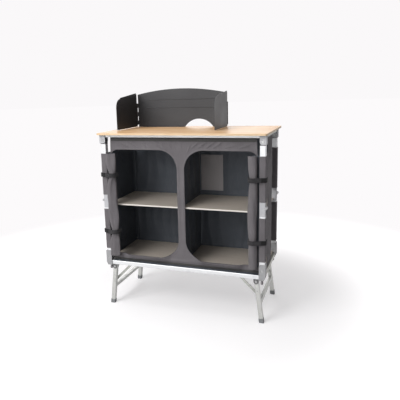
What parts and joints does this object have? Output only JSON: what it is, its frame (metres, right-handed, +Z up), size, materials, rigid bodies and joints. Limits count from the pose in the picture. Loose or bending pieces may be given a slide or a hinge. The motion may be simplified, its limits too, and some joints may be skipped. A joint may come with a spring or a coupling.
{
  "type": "folding camp kitchen cabinet",
  "caption": "Folding camp kitchen cabinet: elbowed aluminium frame on folding legs, laminated top with a three-panel windshield, and a fabric cupboard with two shelved bays.",
  "frame": {"origin": "on the ground under the centre of the tabletop", "axes": "+Z up, front of the cupboard faces -Y, +X to the right seen from the front"},
  "size_m": [0.79, 0.43, 1.0442],
  "materials": {
    "frame_tube": "anodised extrusion, satin",
    "brace_strip": "plain strip, mill finish",
    "fitting_plastic": "moulded, light grey",
    "plug_plastic": "moulded, mid grey",
    "pin_steel": "zinc plated",
    "bracket_steel": "dark powder coat",
    "shelf_board": "greige melamine with a cream edge",
    "tabletop_laminate": "light wood laminate, satin",
    "edge_band": "light wood coloured edge band",
    "cupboard_cloth": "mid grey coated polyester weave",
    "lining_cloth": "dark grey blue coated lining",
    "strap_webbing": "black webbing",
    "foot_rubber": "moulded, dark grey",
    "windshield_sheet": "charcoal powder coat"
  },
  "bodies": {
    "base_frame": {"base_rail_front": "frame_tube", "base_rail_rear": "frame_tube", "base_side_rails": "frame_tube", "base_corner_fittings": "fitting_plastic", "base_pads": "plug_plastic", "base_pivot_pins": "pin_steel", "leg_hinge_brackets": "bracket_steel", "leg_hinge_pins": "pin_steel", "brace_rail_pins": "bracket_steel", "base_boards": "shelf_board", "cupboard_floor": "lining_cloth", "cupboard_front": "cupboard_cloth", "cupboard_back": "lining_cloth", "cupboard_right_wall": "cupboard_cloth", "cupboard_left_wall": "cupboard_cloth", "cupboard_divider": "lining_cloth", "right_door_roll": "cupboard_cloth", "left_door_roll": "cupboard_cloth", "door_straps": "strap_webbing"},
    "right_lower_posts": {"right_lower_tubes": "frame_tube", "right_lower_eyes": "plug_plastic", "right_lower_elbows": "fitting_plastic", "right_lower_sleeves": "cupboard_cloth"},
    "right_upper_posts": {"right_upper_tubes": "frame_tube", "right_upper_eyes": "plug_plastic", "right_upper_elbows": "fitting_plastic", "right_upper_sleeves": "cupboard_cloth", "right_elbow_pins": "pin_steel"},
    "left_lower_posts": {"left_lower_tubes": "frame_tube", "left_lower_eyes": "plug_plastic", "left_lower_elbows": "fitting_plastic", "left_lower_sleeves": "cupboard_cloth"},
    "left_upper_posts": {"left_upper_tubes": "frame_tube", "left_upper_eyes": "plug_plastic", "left_upper_elbows": "fitting_plastic", "left_upper_sleeves": "cupboard_cloth", "left_elbow_pins": "pin_steel"},
    "top": {"tabletop": "tabletop_laminate", "tabletop_edge_band": "edge_band", "top_rail_front": "frame_tube", "top_rail_rear": "frame_tube", "top_side_rails": "frame_tube", "top_corner_blocks": "fitting_plastic", "top_pivot_pins": "pin_steel", "windshield_back": "windshield_sheet", "windshield_hinge_pins": "pin_steel"},
    "shelf": {"shelf_boards": "shelf_board", "shelf_sling": "lining_cloth"},
    "right_legs": {"right_leg_frame": "frame_tube", "right_feet": "foot_rubber"},
    "left_legs": {"left_leg_frame": "frame_tube", "left_feet": "foot_rubber"},
    "right_brace_top": {"right_brace_upper": "brace_strip"},
    "right_brace_bottom": {"right_brace_lower": "brace_strip"},
    "left_brace_top": {"left_brace_upper": "brace_strip"},
    "left_brace_bottom": {"left_brace_lower": "brace_strip"},
    "right_wing": {"windshield_right_wing": "windshield_sheet"},
    "left_wing": {"windshield_left_wing": "windshield_sheet"}
  },
  "joints": [
    {"name": "cabinet_fold", "type": "hinge", "parent": "base_frame", "child": "right_lower_posts", "pos_m": [0.3735, -0.0185, 0.244], "axis": [0, -1, 0], "range_deg": [0, 88], "deforming": ["cupboard_front", "cupboard_back", "cupboard_right_wall", "cupboard_left_wall", "cupboard_divider", "right_door_roll", "left_door_roll", "door_straps"]},
    {"name": "right_elbow", "type": "hinge", "parent": "right_lower_posts", "child": "right_upper_posts", "pos_m": [0.388, -0.0185, 0.529], "axis": [0, -1, 0], "range_deg": [-176, 0]},
    {"name": "right_top_pivot", "type": "hinge", "parent": "right_upper_posts", "child": "top", "pos_m": [0.3735, -0.0185, 0.814], "axis": [0, -1, 0], "range_deg": [0, 88]},
    {"name": "left_fold", "type": "hinge", "parent": "base_frame", "child": "left_lower_posts", "pos_m": [-0.3735, -0.0185, 0.244], "axis": [0, 1, 0], "range_deg": [0, 88]},
    {"name": "left_elbow", "type": "hinge", "parent": "left_lower_posts", "child": "left_upper_posts", "pos_m": [-0.388, -0.0185, 0.529], "axis": [0, 1, 0], "range_deg": [-176, 0]},
    {"name": "shelf_drop", "type": "slide", "parent": "base_frame", "child": "shelf", "axis": [0, 0, -1], "range_m": [0, 0.2501]},
    {"name": "right_leg_fold", "type": "hinge", "parent": "base_frame", "child": "right_legs", "pos_m": [0.348, -0.0185, 0.1945], "axis": [0, 1, 0], "range_deg": [0, 96.5]},
    {"name": "left_leg_fold", "type": "hinge", "parent": "base_frame", "child": "left_legs", "pos_m": [-0.348, -0.0185, 0.1945], "axis": [0, -1, 0], "range_deg": [0, 96.5]},
    {"name": "right_brace_rail_pivot", "type": "hinge", "parent": "base_frame", "child": "right_brace_top", "pos_m": [0.268, -0.0185, 0.2065], "axis": [0, -1, 0], "range_deg": [0, 44.46]},
    {"name": "right_brace_leg_pivot", "type": "hinge", "parent": "right_legs", "child": "right_brace_bottom", "pos_m": [0.35744, -0.0185, 0.118], "axis": [0, 1, 0], "range_deg": [0, 26.98]},
    {"name": "left_brace_rail_pivot", "type": "hinge", "parent": "base_frame", "child": "left_brace_top", "pos_m": [-0.268, -0.0185, 0.2065], "axis": [0, 1, 0], "range_deg": [0, 44.46]},
    {"name": "left_brace_leg_pivot", "type": "hinge", "parent": "left_legs", "child": "left_brace_bottom", "pos_m": [-0.35744, -0.0185, 0.118], "axis": [0, -1, 0], "range_deg": [0, 26.98]},
    {"name": "right_wing_hinge", "type": "hinge", "parent": "top", "child": "right_wing", "pos_m": [0.1358, 0.1668, 0.85], "axis": [0, 0, -1], "range_deg": [0, 90]},
    {"name": "left_wing_hinge", "type": "hinge", "parent": "top", "child": "left_wing", "pos_m": [-0.3538, 0.1668, 0.85], "axis": [0, 0, 1], "range_deg": [0, 90]}
  ],
  "couplings": [
    {"joint": "right_elbow", "follows": "cabinet_fold", "ratio": -2},
    {"joint": "right_top_pivot", "follows": "cabinet_fold", "ratio": 1},
    {"joint": "left_fold", "follows": "cabinet_fold", "ratio": 1},
    {"joint": "left_elbow", "follows": "cabinet_fold", "ratio": -2},
    {"joint": "shelf_drop", "follows": "cabinet_fold", "m_per_rad": 0.16277},
    {"joint": "right_brace_rail_pivot", "follows": "right_leg_fold", "ratio": 0.46064},
    {"joint": "right_brace_leg_pivot", "follows": "right_leg_fold", "ratio": 0.27944},
    {"joint": "left_brace_rail_pivot", "follows": "left_leg_fold", "ratio": 0.46064},
    {"joint": "left_brace_leg_pivot", "follows": "left_leg_fold", "ratio": 0.27944}
  ]
}
